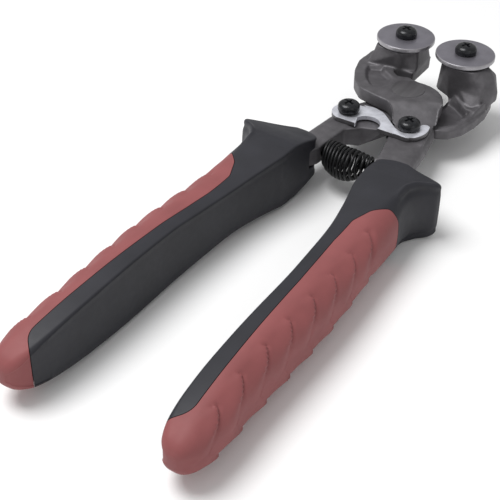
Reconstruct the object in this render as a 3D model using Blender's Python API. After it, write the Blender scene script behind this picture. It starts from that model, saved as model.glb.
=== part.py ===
"""Wheeled tile and glass nippers: two crossed forged levers on one pivot bolt, a cutting wheel clamped on
each jaw, a latch plate across the shanks, a return spring, and two-colour handle grips.

Lengths in this file are millimetres, and MM turns them into metres when a mesh is made. Drawing axes: the
pivot bolt stands on x = 0, y = 0, the jaws point along +Y, the wheels' screws along +Z, and z = 0 is the
level halfway through the handles. The tool_frame empty carries that drawing into the world."""

import math

import bmesh
import bpy
from mathutils import Matrix

MM = 0.001
GAP = 0.3

PIVOT_Y = 78.4
HANDLE_HALF = 11.2
LEVER_HALF = 3.6

WHEEL_RADIUS = 11.0
WHEEL_THICK = 2.0
WHEEL_BORE = 3.2
WHEEL_X = 12.21
WHEEL_Y = 21.28
SEAT_Z = 15.4
WHEEL_SCREW_RADIUS = 1.9

HEAD_TOP = 8.55
HEAD_BOTTOM = 3.45
LAP_TOP = 3.1
LAP_BOTTOM = -5.4
LAP_RADIUS = 11.6
PIVOT_RADIUS = 4.0
PIVOT_HEAD = 6.2
WASHER_THICK = 1.2
NUT_FLATS = 13.0
PIVOT_CLEAR = 0.1

LATCH_BOTTOM = 3.9
LATCH_TOP = 5.4
LATCH_X, LATCH_Y = -12.9, -21.6
CATCH_X, CATCH_Y = 10.3, -19.6
LATCH_SCREW_RADIUS = 1.9
SCREW_HEAD = 4.0
SCREW_HEAD_TALL = 3.1
COLLAR_RADIUS = 2.6

SPRING_Y = -42.0
SPRING_X0, SPRING_X1 = -9.7, 7.4
SPRING_TURNS = 9.5
SPRING_END, SPRING_MIDDLE = 3.3, 5.0
WIRE = 0.6
SPRING_PIN = 1.6

# Grip sections: y, inner edge x, outer edge x, half height, inner and outer corner radius.
GRIP = (
    (-45.2, 14.5, 21.0, 6.6, 0.8, 2.0),
    (-47.5, 11.8, 27.5, 7.6, 1.0, 2.0),
    (-51.0, 12.2, 35.5, 9.0, 1.0, 2.0),
    (-53.2, 12.4, 38.0, 9.8, 1.0, 2.5),
    (-56.0, 12.6, 35.8, 10.8, 1.0, 4.0),
    (-58.5, 12.8, 34.0, 11.2, 1.0, 5.5),
    (-61.5, 13.0, 32.4, 11.2, 1.0, 6.5),
    (-66.0, 13.2, 31.6, 10.9, 1.0, 8.0),
    (-78.0, 15.6, 33.0, 9.9, 1.0, 8.5),
    (-90.0, 17.5, 33.8, 9.3, 1.0, 8.3),
    (-105.0, 18.9, 34.9, 9.9, 1.0, 8.6),
    (-122.0, 20.1, 35.2, 10.8, 1.0, 8.8),
    (-140.0, 20.4, 34.8, 11.1, 1.0, 8.8),
    (-160.0, 20.8, 34.6, 10.4, 1.2, 8.4),
    (-173.0, 21.4, 35.3, 9.2, 1.6, 7.8),
    (-182.0, 22.4, 34.8, 7.4, 2.4, 6.2),
    (-186.5, 23.8, 33.2, 5.4, 2.6, 4.2),
    (-189.0, 26.2, 30.8, 2.6, 1.4, 1.6),
)
COVER_THICK = 2.4

# Tang sections inside a grip, continuing the shank: the same columns as GRIP.
TANG = (
    (-52.5, 14.2, 22.4, 3.3, 0.5, 1.0),
    (-60.0, 17.2, 25.0, 3.1, 0.5, 0.8),
    (-80.0, 20.4, 27.6, 2.8, 0.5, 0.8),
    (-112.0, 24.6, 30.4, 2.5, 0.5, 0.8),
)
UPPER_SHANK = (
    (-11.3, 3.6, 17.0, 3.6, 0.6, 2.6),
    (-20.0, 4.5, 18.8, 3.6, 0.6, 3.0),
    (-25.0, 5.2, 19.6, 3.6, 0.6, 3.1),
    (-39.0, 8.4, 21.2, 3.6, 0.6, 3.1),
    (-46.0, 9.2, 22.0, 3.5, 0.6, 2.6),
) + TANG
LOWER_SHANK = (
    (-12.0, 7.0, 16.4, 3.6, 0.6, 2.6),
    (-20.0, 8.6, 18.6, 3.6, 0.6, 3.0),
    (-25.0, 9.3, 19.6, 3.6, 0.6, 3.1),
    (-39.0, 10.7, 21.2, 3.6, 0.6, 3.1),
    (-46.0, 11.2, 22.0, 3.5, 0.6, 2.6),
) + TANG

LEFT, RIGHT = -1, 1


# ---------------------------------------------------------------- scene and materials

def clear_scene():
    for obj in list(bpy.data.objects):
        bpy.data.objects.remove(obj)


def material(name, colour, roughness, metallic):
    made = bpy.data.materials.new(name)
    made.use_nodes = True
    shader = made.node_tree.nodes["Principled BSDF"]
    shader.inputs["Base Color"].default_value = (*colour, 1.0)
    shader.inputs["Roughness"].default_value = roughness
    shader.inputs["Metallic"].default_value = metallic
    return made


# ---------------------------------------------------------------- outlines

def arc(cx, cy, radius, start, end, steps):
    """Points of an arc, in degrees, both ends included."""
    angles = [math.radians(start + (end - start) * i / steps) for i in range(steps + 1)]
    return [(cx + radius * math.cos(a), cy + radius * math.sin(a)) for a in angles]


def rounded(corners, steps=3):
    """Outline with corners (x, y) left sharp and corners (x, y, radius) turned into arcs."""
    points = []
    count = len(corners)
    for i, corner in enumerate(corners):
        x, y = corner[:2]
        if len(corner) == 2:
            points.append((x, y))
            continue
        before, after = corners[i - 1], corners[(i + 1) % count]
        ax, ay = before[0] - x, before[1] - y
        bx, by = after[0] - x, after[1] - y
        la, lb = math.hypot(ax, ay), math.hypot(bx, by)
        ax, ay, bx, by = ax / la, ay / la, bx / lb, by / lb
        half = math.acos(max(-1.0, min(1.0, ax * bx + ay * by))) / 2
        reach = min(corner[2] / math.tan(half), 0.48 * la, 0.48 * lb)
        for k in range(steps + 1):
            t = k / steps
            p = (1 - t) ** 2 * reach
            q = t ** 2 * reach
            points.append((x + ax * p + bx * q, y + ay * p + by * q))
    return points


def mirrored(points):
    return [(-p[0], *p[1:]) for p in points][::-1]


def widened(outline, amount):
    """Counterclockwise outline moved outwards by an amount on every side."""
    moved = []
    for i, (x, y) in enumerate(outline):
        bx, by = outline[i - 1]
        ax, ay = outline[(i + 1) % len(outline)]
        lb, la = math.hypot(x - bx, y - by), math.hypot(ax - x, ay - y)
        nx, ny = (y - by) / lb + (ay - y) / la, -(x - bx) / lb - (ax - x) / la
        scale = 2 * amount / (nx * nx + ny * ny)
        moved.append((x + nx * scale, y + ny * scale))
    return moved


def section(x0, x1, half, r0, r1, steps=3):
    """Upright rectangle (x, z) with corner radius r0 on the x0 side and r1 on the x1 side."""
    flat0, flat1 = half - min(r0, half * 0.98), half - min(r1, half * 0.98)
    r0, r1 = half - flat0, half - flat1
    return (
        arc(x1 - r1, -flat1, r1, -90, 0, steps)
        + arc(x1 - r1, flat1, r1, 0, 90, steps)
        + arc(x0 + r0, flat0, r0, 90, 180, steps)
        + arc(x0 + r0, -flat0, r0, 180, 270, steps)
    )


# ---------------------------------------------------------------- solids

def solid_from_rings(name, rings):
    """Closed solid through rings of equal point counts, with flat ends."""
    shape = bmesh.new()
    layers = [[shape.verts.new([c * MM for c in point]) for point in ring] for ring in rings]
    size = len(rings[0])
    for low, high in zip(layers, layers[1:]):
        for i in range(size):
            j = (i + 1) % size
            shape.faces.new((low[i], low[j], high[j], high[i]))
    shape.faces.new(layers[0][::-1])
    shape.faces.new(layers[-1])
    bmesh.ops.recalc_face_normals(shape, faces=shape.faces)
    mesh = bpy.data.meshes.new(name)
    shape.to_mesh(mesh)
    shape.free()
    made = bpy.data.objects.new(name, mesh)
    bpy.context.collection.objects.link(made)
    return made


def prism(name, outline, z0, z1, top=None):
    """Upright prism, or a tapered one where a top outline is given."""
    upper = top or outline
    return solid_from_rings(name, [[(x, y, z0) for x, y in outline], [(x, y, z1) for x, y in upper]])


def rod(name, cx, cy, z0, z1, radius, sides=32):
    return prism(name, arc(cx, cy, radius, 0, 360 - 360 / sides, sides - 1), z0, z1)


def turned(name, profile, sides=40, cx=0.0, cy=0.0):
    """Solid of revolution about an upright axis, from (radius, z) rings listed bottom to top."""
    rings = []
    for radius, z in profile:
        rings.append([(x, y, z) for x, y in arc(cx, cy, radius, 0, 360 - 360 / sides, sides - 1)])
    return solid_from_rings(name, rings)


def lofted(name, sections, side=RIGHT, grow=0.0, steps=3):
    """Bar along -Y through the given sections, mirrored for the left side and grown by a margin."""
    rings = []
    for y, x0, x1, half, r0, r1 in sections:
        ring = section(x0 - grow, x1 + grow, half + grow, r0 + grow, r1 + grow, steps)
        rings.append([(side * x, y, z) for x, z in ring])
    if grow:
        rings[0] = [(x, y + 1.0, z) for x, y, z in rings[0]]
        rings[-1] = [(x, y - grow, z) for x, y, z in rings[-1]]
    return solid_from_rings(name, rings)


def cross_rod(name, x0, x1, y, radius, sides=20):
    """Round bar along X at the given y, on the middle level."""
    rings = []
    for x in (x0, x1):
        rings.append([(x, y + a, b) for a, b in arc(0, 0, radius, 0, 360 - 360 / sides, sides - 1)])
    return solid_from_rings(name, rings)


def combine(obj, operation, *tools):
    """Unites, cuts or intersects, keeps the result as the object's mesh and drops the tools."""
    for tool in tools:
        step = obj.modifiers.new(operation, "BOOLEAN")
        step.operation = operation
        step.object = tool
        graph = bpy.context.evaluated_depsgraph_get()
        result = bpy.data.meshes.new_from_object(obj.evaluated_get(graph))
        obj.modifiers.clear()
        obj.data = result
    for tool in set(tools):
        bpy.data.objects.remove(tool)
    return obj


def finish(obj, look, parent, smooth=40):
    obj.data.materials.clear()
    obj.data.materials.append(look)
    obj.data.shade_smooth()
    obj.data.set_sharp_from_angle(angle=math.radians(smooth))
    obj.parent = parent
    return obj


# ---------------------------------------------------------------- levers

def head_slope():
    """Cutter that takes the head plate down to the shank's level just before the catch screw."""
    along = (0.466, -0.885)
    across = (0.885, 0.466)
    profile = ((10.2, HEAD_TOP + 0.4), (13.6, 6.3), (17.4, LEVER_HALF + 0.05), (40.0, LEVER_HALF + 0.05))
    outline = profile + ((40.0, HEAD_TOP + 5.0), (10.2, HEAD_TOP + 5.0))
    rings = []
    for reach in (-40.0, 40.0):
        rings.append([(along[0] * s + across[0] * reach, along[1] * s + across[1] * reach, z) for s, z in outline])
    return solid_from_rings("head_slope", rings)


def upper_lever():
    """Left jaw, the head plate that carries the bolt's face, and the right handle's shank."""
    plate = rounded(
        arc(2.6, -5.9, 13.0, 0, 96, 9)
        + [(-3.4, 8.0, 1.5), (-2.6, 12.5, 1.5), (-2.6, 27.0, 2.0), (-8.5, 30.6, 3.0), (-20.5, 29.6, 4.0)]
        + [(-25.2, 20.0, 6.0), (-25.7, 10.0, 8.0), (-23.6, 2.6, 8.0), (-20.4, -3.6, 6.0)]
        + [(-15.6, -8.7, 4.0), (-8.0, -10.6, 5.0), (-2.4, -11.6, 4.0), (1.0, -14.4, 4.0)]
        + [(4.3, -20.0), (5.2, -25.0), (19.6, -25.0), (17.4, -12.0)]
    )
    lever = prism("upper_lever", plate, HEAD_BOTTOM, HEAD_TOP)
    base = rounded(
        [(-2.4, 13.0, 1.0), (-2.4, 27.5, 2.5), (-9.0, 31.0, 3.0), (-20.0, 30.0, 5.0), (-25.0, 20.5, 5.0)]
        + [(-24.2, 12.6, 3.0), (-9.0, 12.0, 1.5)]
    )
    seat = rounded(
        [(-5.2, 15.6, 1.0), (-5.2, 26.8, 2.5), (-9.6, 30.2, 3.0), (-18.0, 29.6, 5.0), (-21.4, 22.5, 5.0)]
        + [(-20.6, 12.2, 3.0), (-9.4, 11.2, 1.5)]
    )
    block = prism("left_block", base, HEAD_BOTTOM + 0.2, SEAT_Z, seat)
    shank = lofted("right_shank", UPPER_SHANK)
    combine(shank, "DIFFERENCE", rod("sweep", 0, 0, -8, 3.6, LAP_RADIUS + 0.5, 48))
    combine(lever, "DIFFERENCE", head_slope())
    combine(lever, "UNION", block, shank)
    combine(
        lever,
        "DIFFERENCE",
        rod("pivot_bore", 0, 0, 0, 12, PIVOT_RADIUS + PIVOT_CLEAR, 48),
        rod("head_recess", 0, 0, 6.4, 12, PIVOT_HEAD + GAP, 48),
        rod("wheel_thread", -WHEEL_X, WHEEL_Y, 6.5, 20, WHEEL_SCREW_RADIUS + GAP, 20),
        rod("catch_thread", CATCH_X, CATCH_Y, -2.2, 9, LATCH_SCREW_RADIUS + GAP, 20),
        cross_rod("pin_hole", 0, 12.4, SPRING_Y, SPRING_PIN + GAP),
    )
    return lever


def lower_lever():
    """Right jaw, the lap disc under the head, and the left handle's shank."""
    lap = rod("lower_lever", 0, 0, LAP_BOTTOM, LAP_TOP, LAP_RADIUS, 48)
    neck = rounded(
        [(-17.0, -19.0), (-14.6, -10.0, 4.0), (-9.0, -2.0, 4.0), (1.0, 2.0), (2.0, -11.0, 2.0)]
        + [(-5.6, -12.6, 3.0), (-8.8, -19.0)]
    )
    web = rounded(
        [(9.0, -5.5), (13.8, -10.6, 1.0), (17.0, -10.8, 1.5), (21.0, -8.6, 3.0), (24.2, -3.6, 4.0)]
        + [(26.0, 4.0, 6.0), (26.6, 12.0, 6.0), (25.4, 20.5, 4.0), (21.0, 29.0, 3.0), (9.6, 30.2, 3.0)]
        + [(3.4, 26.4, 2.0), (3.4, 17.8, 1.0), (11.6, 13.3, 1.0), (11.6, 6.0, 2.0), (8.0, 5.0)]
    )
    base = rounded(
        [(25.6, 12.0, 4.0), (25.2, 20.5, 5.0), (20.5, 29.6, 5.0), (9.2, 30.8, 3.0), (2.6, 27.4, 2.5)]
        + [(3.4, 17.4, 1.0), (11.4, 12.9, 1.5)]
    )
    seat = rounded(
        [(20.8, 12.2, 3.0), (21.6, 22.5, 5.0), (18.2, 29.6, 5.0), (9.6, 30.2, 3.0), (5.2, 26.8, 2.5)]
        + [(5.6, 15.8, 1.0), (9.8, 11.4, 1.5)]
    )
    block = prism("right_block", base, -1.6, SEAT_Z, seat)
    shank = lofted("left_shank", LOWER_SHANK, LEFT)
    combine(
        lap,
        "UNION",
        prism("neck", neck, -3.4, LAP_TOP - 0.05),
        prism("web", web, -1.8, 2.0),
        block,
        shank,
    )
    combine(
        lap,
        "DIFFERENCE",
        rod("pivot_bore", 0, 0, -12, 12, PIVOT_RADIUS + GAP, 48),
        rod("wheel_thread", WHEEL_X, WHEEL_Y, 6.5, 20, WHEEL_SCREW_RADIUS + GAP, 20),
        rod("latch_thread", LATCH_X, LATCH_Y, -2.2, 9, LATCH_SCREW_RADIUS + GAP, 20),
        cross_rod("pin_hole", -15.2, 0, SPRING_Y, SPRING_PIN + GAP),
    )
    return lap


# ---------------------------------------------------------------- pivot, wheels, latch, spring

def pivot_bolt():
    """Flush round head in the upper lever's recess, with the shank through both laps into the nut."""
    tip = -HANDLE_HALF + 0.5
    return turned(
        "pivot_bolt",
        [(PIVOT_RADIUS - 0.5, tip), (PIVOT_RADIUS, tip + 0.5), (PIVOT_RADIUS, 6.7)]
        + [(PIVOT_HEAD, 6.7), (PIVOT_HEAD, HEAD_TOP), (PIVOT_HEAD - 0.3, HEAD_TOP + 0.2)],
        48,
    )


def pivot_nut(top):
    """Thin hexagon nut whose lower face is one of the tool's three resting points."""
    corner = NUT_FLATS / 2 / math.cos(math.pi / 6)
    nut = prism("pivot_nut", arc(0, 0, corner, 0, 300, 5), -HANDLE_HALF, top)
    return combine(nut, "DIFFERENCE", rod("thread", 0, 0, -13, 0, PIVOT_RADIUS + GAP, 32))


def ring(name, inner, outer, z0, z1, cx=0.0, cy=0.0, bevel=0.0, sides=32):
    """Flat ring whose outer edge is broken by a bevel."""
    body = turned(
        name,
        [(outer - bevel, z0), (outer, z0 + bevel), (outer, z1 - bevel), (outer - bevel, z1)]
        if bevel
        else [(outer, z0), (outer, z1)],
        sides,
        cx,
        cy,
    )
    return combine(body, "DIFFERENCE", rod("hole", cx, cy, z0 - 1, z1 + 1, inner, sides))


def wheel(name, side):
    """Carbide disc with a narrow rim land and a bevel that runs under to the cutting edge."""
    low = SEAT_Z + GAP
    disc = turned(
        name,
        [(8.4, low), (WHEEL_RADIUS - 0.1, low + 0.9), (WHEEL_RADIUS, low + 1.1)]
        + [(WHEEL_RADIUS, low + WHEEL_THICK - 0.1), (WHEEL_RADIUS - 0.2, low + WHEEL_THICK)],
        56,
        side * WHEEL_X,
        WHEEL_Y,
    )
    hole = rod("hole", side * WHEEL_X, WHEEL_Y, low - 1, low + WHEEL_THICK + 1, WHEEL_BORE, 32)
    return combine(disc, "DIFFERENCE", hole)


def pan_screw(name, cx, cy, under_head, tip, tall=SCREW_HEAD_TALL):
    """Pan-head machine screw with a cross recess."""
    top = under_head + tall
    screw = turned(
        name,
        [(WHEEL_SCREW_RADIUS - 0.5, tip), (WHEEL_SCREW_RADIUS, tip + 0.6), (WHEEL_SCREW_RADIUS, under_head)]
        + [(SCREW_HEAD, under_head), (SCREW_HEAD, under_head + 0.5 * tall), (SCREW_HEAD - 0.5, top - 0.55)]
        + [(SCREW_HEAD - 1.6, top - 0.1), (1.0, top)],
        24,
        cx,
        cy,
    )
    half, arm, floor = 0.45, 2.0, top - 1.3
    for long_x, long_y in ((arm, half), (half, arm)):
        corners = [(long_x, -long_y), (long_x, long_y), (-long_x, long_y), (-long_x, -long_y)]
        slot = prism("slot", [(cx + x, cy + y) for x, y in corners], floor, top + 1)
        combine(screw, "DIFFERENCE", slot)
    return screw


def latch_plate():
    """Flat latch with a round pivot end, a thumb notch in its rear edge and a hook round the catch collar."""
    outline = rounded(
        arc(LATCH_X, LATCH_Y, 5.5, 100, 235, 7)
        + [(-14.6, -27.0, 2.0), (-7.6, -27.0, 0.5), (-9.2, -23.2, 0.5), (-7.2, -21.4, 1.0)]
        + [(-4.0, -21.5, 2.0), (-1.0, -23.6, 1.5), (1.0, -26.7, 0.6)]
        + [(12.4, -26.3, 3.0), (17.2, -24.3, 3.0), (18.2, -20.5, 4.0), (16.4, -15.4, 1.4), (14.2, -13.8, 1.0)]
        + [(13.7, -17.0, 1.0), (14.2, -22.4, 3.6), (9.6, -24.9, 2.6)]
        + [(6.6, -23.4, 1.5), (2.2, -19.7, 1.5), (-0.9, -16.6, 4.0), (-5.0, -14.5, 3.0)]
    )
    plate = prism("latch_plate", outline, LATCH_BOTTOM, LATCH_TOP)
    hole = rod("hole", LATCH_X, LATCH_Y, LATCH_BOTTOM - 1, LATCH_TOP + 1, LATCH_SCREW_RADIUS + 0.1, 24)
    return combine(plate, "DIFFERENCE", hole)


def return_spring():
    """Barrel coil along X whose end turns sit on the two pins."""
    steps = 14
    count = int(SPRING_TURNS * steps)
    curve = bpy.data.curves.new("return_spring", "CURVE")
    curve.dimensions = "3D"
    path = curve.splines.new("POLY")
    path.points.add(count)
    for i, point in enumerate(path.points):
        t = i / count
        turn = math.tau * SPRING_TURNS * t
        radius = SPRING_END + (SPRING_MIDDLE - SPRING_END) * math.sin(math.pi * t) ** 0.8
        x = SPRING_X0 + (SPRING_X1 - SPRING_X0) * t
        y = SPRING_Y + radius * math.cos(turn)
        point.co = (x * MM, y * MM, radius * math.sin(turn) * MM, 1.0)
    curve.bevel_depth = WIRE * MM
    curve.bevel_resolution = 1
    curve.use_fill_caps = True
    spring = bpy.data.objects.new("return_spring", curve)
    bpy.context.collection.objects.link(spring)
    return spring


# ---------------------------------------------------------------- grips

def cover_area():
    """Plan region (right side) of the coloured cover: the outer side, the crown's outer half and the whole end."""
    return rounded(
        [(38.0, -84.0, 2.0), (28.6, -71.5, 5.0), (20.8, -81.0, 3.0), (22.6, -96.0, 20.0)]
        + [(24.6, -120.0, 40.0), (26.2, -155.0, 20.0), (27.6, -174.0, 4.0), (23.0, -182.5, 3.0)]
        + [(10.0, -186.5), (10.0, -200.0), (60.0, -200.0), (60.0, -84.0)]
    )


def inset(sections, amount):
    """Sections drawn in by an amount on every side, for a core under a cover."""
    made = []
    for y, x0, x1, half, r0, r1 in sections:
        made.append((y, x0 + amount, x1 - amount, half - amount, r0, max(r1 - amount, 0.4)))
    return made


def grip(side, name):
    """The black body with its core, and the coloured cover wrapped round the core's outer side."""
    area = cover_area() if side == RIGHT else mirrored(cover_area())
    core_sections = [s for s in GRIP if -183.0 < s[0] < -59.0]
    cover = lofted(name + "_cover", GRIP, side, steps=4)
    combine(cover, "INTERSECT", prism("area", area, -20, 20))
    combine(cover, "DIFFERENCE", lofted("core", inset(core_sections, COVER_THICK), side, steps=4))
    body = lofted(name + "_body", GRIP, side, steps=4)
    combine(body, "DIFFERENCE", prism("area", widened(area, GAP), -20, 20))
    combine(body, "UNION", lofted("core", inset(core_sections, COVER_THICK + GAP), side, steps=4))
    shank = UPPER_SHANK if side == RIGHT else LOWER_SHANK
    combine(body, "DIFFERENCE", lofted("channel", shank[3:], side, GAP))
    return body, cover


# ---------------------------------------------------------------- assembly

def main():
    clear_scene()
    steel = material("forged_steel", (0.13, 0.125, 0.12), 0.5, 0.85)
    carbide = material("carbide", (0.30, 0.29, 0.31), 0.35, 0.9)
    zinc = material("zinc_plate", (0.62, 0.63, 0.67), 0.3, 0.95)
    black_oxide = material("black_oxide", (0.02, 0.021, 0.023), 0.4, 0.7)
    spring_steel = material("spring_steel", (0.012, 0.012, 0.013), 0.35, 0.7)
    black_rubber = material("black_grip", (0.045, 0.046, 0.053), 0.6, 0.0)
    red_rubber = material("red_grip", (0.29, 0.10, 0.095), 0.6, 0.0)

    frame = bpy.data.objects.new("tool_frame", None)
    bpy.context.collection.objects.link(frame)
    frame.matrix_world = Matrix.Translation((0, PIVOT_Y * MM, HANDLE_HALF * MM))

    seat_top = SEAT_Z + GAP + WHEEL_THICK
    finish(upper_lever(), steel, frame)
    finish(lower_lever(), steel, frame)
    finish(pivot_bolt(), steel, frame)
    washer_top = LAP_BOTTOM - GAP
    washer = ring("pivot_washer", PIVOT_RADIUS + GAP, 7.4, washer_top - WASHER_THICK, washer_top)
    finish(washer, zinc, frame)
    finish(pivot_nut(washer_top - WASHER_THICK - GAP), black_oxide, frame)
    for side, name in ((LEFT, "left"), (RIGHT, "right")):
        x = side * WHEEL_X
        finish(wheel(name + "_wheel", side), carbide, frame)
        bushing = ring(
            name + "_wheel_bushing", WHEEL_SCREW_RADIUS + GAP, WHEEL_BORE - 0.1, SEAT_Z + GAP, seat_top, x, WHEEL_Y
        )
        finish(bushing, zinc, frame)
        finish(pan_screw(name + "_wheel_screw", x, WHEEL_Y, seat_top + GAP, 7.0), black_oxide, frame)
        body, cover = grip(side, name + "_grip")
        finish(body, black_rubber, frame)
        finish(cover, red_rubber, frame)
    finish(latch_plate(), zinc, frame)
    washer = ring("latch_spring_washer", LATCH_SCREW_RADIUS + GAP, 3.6, LATCH_TOP + GAP, 6.2, LATCH_X, LATCH_Y)
    finish(washer, spring_steel, frame)
    finish(pan_screw("latch_pivot_screw", LATCH_X, LATCH_Y, 6.5, -1.8), black_oxide, frame)
    collar = ring("latch_catch_collar", LATCH_SCREW_RADIUS + GAP, COLLAR_RADIUS, 3.9, 5.5, CATCH_X, CATCH_Y)
    finish(collar, zinc, frame)
    finish(pan_screw("latch_catch_screw", CATCH_X, CATCH_Y, 5.8, -1.8), black_oxide, frame)
    finish(cross_rod("left_spring_pin", -14.6, -7.6, SPRING_Y, SPRING_PIN), spring_steel, frame)
    finish(cross_rod("right_spring_pin", 5.2, 11.8, SPRING_Y, SPRING_PIN), spring_steel, frame)
    spring = return_spring()
    spring.data.materials.append(spring_steel)
    spring.parent = frame


main()
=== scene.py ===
"""The looks of the wheeled nippers: forged levers, ground carbide wheels, plated latch, coil spring and
two-colour soft grips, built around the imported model.

Lengths are millimetres, and MM turns them into metres. Drawing positions count from the pivot axis at the
handles' mid level: +Y towards the jaws, +Z along the wheels' screws."""

import math

import bmesh
import bpy
import numpy as np
from mathutils import Matrix, Vector


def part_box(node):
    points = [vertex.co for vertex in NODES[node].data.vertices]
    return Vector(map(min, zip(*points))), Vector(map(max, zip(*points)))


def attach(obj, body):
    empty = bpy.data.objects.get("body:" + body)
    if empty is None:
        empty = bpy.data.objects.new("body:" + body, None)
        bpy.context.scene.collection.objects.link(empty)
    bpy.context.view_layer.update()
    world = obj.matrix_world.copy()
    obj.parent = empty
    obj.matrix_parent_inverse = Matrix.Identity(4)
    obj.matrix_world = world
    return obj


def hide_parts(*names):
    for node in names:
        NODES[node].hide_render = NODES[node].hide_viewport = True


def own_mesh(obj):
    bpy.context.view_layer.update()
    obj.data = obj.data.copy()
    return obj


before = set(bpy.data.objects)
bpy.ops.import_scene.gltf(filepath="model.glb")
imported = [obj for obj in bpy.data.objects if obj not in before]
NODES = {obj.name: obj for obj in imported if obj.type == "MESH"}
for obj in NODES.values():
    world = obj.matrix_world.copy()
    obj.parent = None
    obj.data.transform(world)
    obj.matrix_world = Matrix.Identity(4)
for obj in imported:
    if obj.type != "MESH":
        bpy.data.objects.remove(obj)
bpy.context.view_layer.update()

MM = 0.001
HANDLE_HALF = 11.2


def node_centre(node):
    low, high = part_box(node)
    return (low + high) / 2


def node_radius(node):
    low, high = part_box(node)
    return (high.x - low.x) / 2 / MM


# The tool rests on the pivot nut and the grips' guards, half a handle below the drawing's own level.
ORIGIN = Vector((0.0, node_centre("pivot_bolt").y, HANDLE_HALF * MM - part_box("pivot_nut")[0].z))


def drawn(point):
    """World position, in metres, of a drawing position in millimetres."""
    return ORIGIN + Vector(point) * MM


def level(node, corner):
    """Height of a node's bottom (0) or top (1) in drawing millimetres."""
    return (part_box(node)[corner].z - ORIGIN.z) / MM


def plan(node):
    """Plan centre of a node in drawing millimetres."""
    centre = (node_centre(node) - ORIGIN) / MM
    return centre.x, centre.y


# ---------------------------------------------------------------- mesh helpers

def linked(name, data):
    """New object in the scene that holds the given data."""
    made = bpy.data.objects.new(name, data)
    bpy.context.scene.collection.objects.link(made)
    return made


def mesh_object(name, points, faces, drawing=True):
    """New object with outward normals, from drawing points, or from points in metres."""
    mesh = bpy.data.meshes.new(name)
    placed = [drawn(p) for p in points] if drawing else [Vector(p) for p in points]
    mesh.from_pydata(placed, [], faces)
    shape = bmesh.new()
    shape.from_mesh(mesh)
    bmesh.ops.recalc_face_normals(shape, faces=shape.faces)
    shape.to_mesh(mesh)
    shape.free()
    return linked(name, mesh)


def band(first, second, size):
    """Faces between two rings of a list of rings, each with the same number of points."""
    a, b = first * size, second * size
    return [(a + i, a + (i + 1) % size, b + (i + 1) % size, b + i) for i in range(size)]


def rings_object(name, rings):
    """Closed solid through rings of equal point counts, with flat ends."""
    size, last = len(rings[0]), len(rings) - 1
    points = [p for ring in rings for p in ring]
    faces = [face for k in range(last) for face in band(k, k + 1, size)]
    faces.append(tuple(range(size))[::-1])
    faces.append(tuple(last * size + i for i in range(size)))
    return mesh_object(name, points, faces)


def circle(cx, cy, radius, z, steps):
    turns = [math.tau * i / steps for i in range(steps)]
    return [(cx + radius * math.cos(a), cy + radius * math.sin(a), z) for a in turns]


def turned(name, profile, cx, cy, steps=96):
    """Solid of revolution about an upright axis from (radius, z) pairs, bottom to top."""
    return rings_object(name, [circle(cx, cy, radius, z, steps) for radius, z in profile])


def hollow_turned(name, profile, cx, cy, steps=96):
    """Ring-shaped solid of revolution from a closed (radius, z) profile."""
    points = [p for radius, z in profile for p in circle(cx, cy, radius, z, steps)]
    count = len(profile)
    faces = [face for k in range(count) for face in band(k, (k + 1) % count, steps)]
    return mesh_object(name, points, faces)


def arc(cx, cy, radius, start, end, steps):
    """Plan points of an arc, in degrees, both ends included."""
    angles = [math.radians(start + (end - start) * i / steps) for i in range(steps + 1)]
    return [(cx + radius * math.cos(a), cy + radius * math.sin(a)) for a in angles]


def rounded(corners, steps=8):
    """Outline with corners (x, y) left sharp and corners (x, y, radius) turned into curves."""
    points = []
    count = len(corners)
    share = 0.48
    for i, corner in enumerate(corners):
        x, y = corner[:2]
        if len(corner) == 2:
            points.append((x, y))
            continue
        before, after = corners[i - 1], corners[(i + 1) % count]
        ax, ay = before[0] - x, before[1] - y
        bx, by = after[0] - x, after[1] - y
        la, lb = math.hypot(ax, ay), math.hypot(bx, by)
        ax, ay, bx, by = ax / la, ay / la, bx / lb, by / lb
        half = math.acos(max(-1.0, min(1.0, ax * bx + ay * by))) / 2
        reach = min(corner[2] / math.tan(half), share * la, share * lb)
        for k in range(steps + 1):
            t = k / steps
            p, q = (1 - t) ** 2 * reach, t ** 2 * reach
            points.append((x + ax * p + bx * q, y + ay * p + by * q))
    return points


def prism(name, outline, z0, z1):
    """Upright solid over a plan outline."""
    return rings_object(name, [[(x, y, z) for x, y in outline] for z in (z0, z1)])


def hull(name, points):
    """Convex solid round a few drawing points."""
    shape = bmesh.new()
    for point in points:
        shape.verts.new(drawn(point))
    bmesh.ops.convex_hull(shape, input=shape.verts)
    loose = [v for v in shape.verts if not v.link_faces]
    bmesh.ops.delete(shape, geom=loose, context="VERTS")
    mesh = bpy.data.meshes.new(name)
    shape.to_mesh(mesh)
    shape.free()
    return linked(name, mesh)


def bake(obj):
    """Replaces the object's mesh by what its modifiers make of it."""
    graph = bpy.context.evaluated_depsgraph_get()
    result = bpy.data.meshes.new_from_object(obj.evaluated_get(graph))
    obj.modifiers.clear()
    obj.data = result
    return obj


def combine(obj, operation, *tools):
    """Joins, subtracts or intersects other solids, which are used up."""
    for tool in tools:
        step = obj.modifiers.new(operation, "BOOLEAN")
        step.operation = operation
        step.object = tool
        bake(obj)
        bpy.data.objects.remove(tool)
    return obj


def bevelled(obj, width, segments=3, angle=35):
    """Rounds the edges sharper than an angle."""
    step = obj.modifiers.new("edges", "BEVEL")
    step.width = width * MM
    step.segments = segments
    step.limit_method = "ANGLE"
    step.angle_limit = math.radians(angle)
    return bake(obj)


def smooth(obj, angle=35):
    """Smooth shading, apart from edges sharper than an angle."""
    obj.data.shade_smooth()
    obj.data.set_sharp_from_angle(angle=math.radians(angle))
    return obj


def piece(obj, body, slot_name, look, *nodes):
    """Gives a finished piece its material, its body and the nodes that it stands for."""
    obj.data.materials.clear()
    obj.data.materials.append(look)
    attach(obj, body)
    if nodes:
        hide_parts(*nodes)
    return obj


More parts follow.
